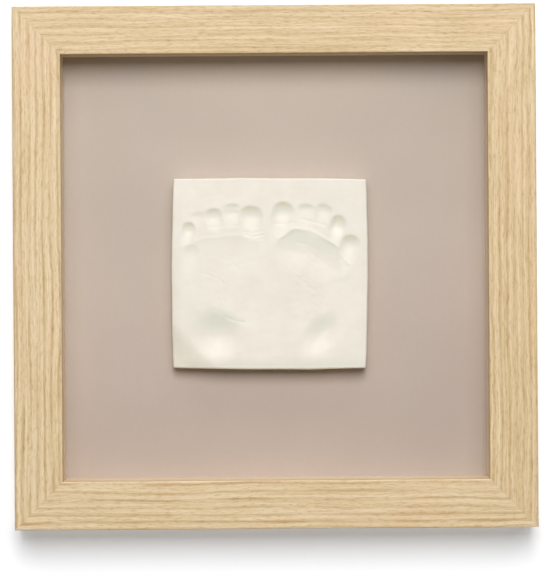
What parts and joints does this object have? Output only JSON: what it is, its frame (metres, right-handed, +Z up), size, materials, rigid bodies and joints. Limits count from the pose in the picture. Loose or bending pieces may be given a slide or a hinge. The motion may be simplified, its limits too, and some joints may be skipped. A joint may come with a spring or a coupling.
{
  "type": "baby footprint frame",
  "caption": "Square pale-oak box frame with a clay plaque of baby footprints on a taupe mount card, a backing board held by swivelling turn-buttons and a sawtooth hanger.",
  "frame": {"origin": "on the surface that the frame stands on, under the middle of its bounding box", "axes": "+X to the viewer's right, +Y from the front to the back, +Z up; the front faces -Y"},
  "size_m": [0.25, 0.028, 0.25],
  "materials": {
    "oak_foil": "satin oak-effect foil",
    "taupe_card": "matt mount card",
    "clay": "matt unglazed clay",
    "foam": "adhesive foam",
    "fibreboard": "raw fibreboard",
    "zinc_steel": "bright zinc plate"
  },
  "bodies": {
    "frame": {"top_rail": "oak_foil", "bottom_rail": "oak_foil", "left_rail": "oak_foil", "right_rail": "oak_foil", "corner_v_nails": "zinc_steel", "mount_card": "taupe_card", "backing_board": "fibreboard", "plaque_pads": "foam", "clay_plaque": "clay", "turn_button_screws": "zinc_steel", "sawtooth_hanger": "zinc_steel", "hanger_nails": "zinc_steel"},
    "turn_button_top_left": {"turn_button_top_left": "zinc_steel"},
    "turn_button_top_right": {"turn_button_top_right": "zinc_steel"},
    "turn_button_bottom_left": {"turn_button_bottom_left": "zinc_steel"},
    "turn_button_bottom_right": {"turn_button_bottom_right": "zinc_steel"},
    "turn_button_left_lower": {"turn_button_left_lower": "zinc_steel"},
    "turn_button_left_upper": {"turn_button_left_upper": "zinc_steel"},
    "turn_button_right_lower": {"turn_button_right_lower": "zinc_steel"},
    "turn_button_right_upper": {"turn_button_right_upper": "zinc_steel"}
  },
  "joints": [
    {"name": "turn_button_top_left_swivel", "type": "hinge", "parent": "frame", "child": "turn_button_top_left", "pos_m": [-0.06, 0.0116, 0.24], "axis": [0, 1, 0], "continuous": true},
    {"name": "turn_button_top_right_swivel", "type": "hinge", "parent": "frame", "child": "turn_button_top_right", "pos_m": [0.06, 0.0116, 0.24], "axis": [0, 1, 0], "continuous": true},
    {"name": "turn_button_bottom_left_swivel", "type": "hinge", "parent": "frame", "child": "turn_button_bottom_left", "pos_m": [-0.06, 0.0116, 0.01], "axis": [0, 1, 0], "continuous": true},
    {"name": "turn_button_bottom_right_swivel", "type": "hinge", "parent": "frame", "child": "turn_button_bottom_right", "pos_m": [0.06, 0.0116, 0.01], "axis": [0, 1, 0], "continuous": true},
    {"name": "turn_button_left_lower_swivel", "type": "hinge", "parent": "frame", "child": "turn_button_left_lower", "pos_m": [-0.115, 0.0116, 0.065], "axis": [0, 1, 0], "continuous": true},
    {"name": "turn_button_left_upper_swivel", "type": "hinge", "parent": "frame", "child": "turn_button_left_upper", "pos_m": [-0.115, 0.0116, 0.185], "axis": [0, 1, 0], "continuous": true},
    {"name": "turn_button_right_lower_swivel", "type": "hinge", "parent": "frame", "child": "turn_button_right_lower", "pos_m": [0.115, 0.0116, 0.065], "axis": [0, 1, 0], "continuous": true},
    {"name": "turn_button_right_upper_swivel", "type": "hinge", "parent": "frame", "child": "turn_button_right_upper", "pos_m": [0.115, 0.0116, 0.185], "axis": [0, 1, 0], "continuous": true}
  ]
}
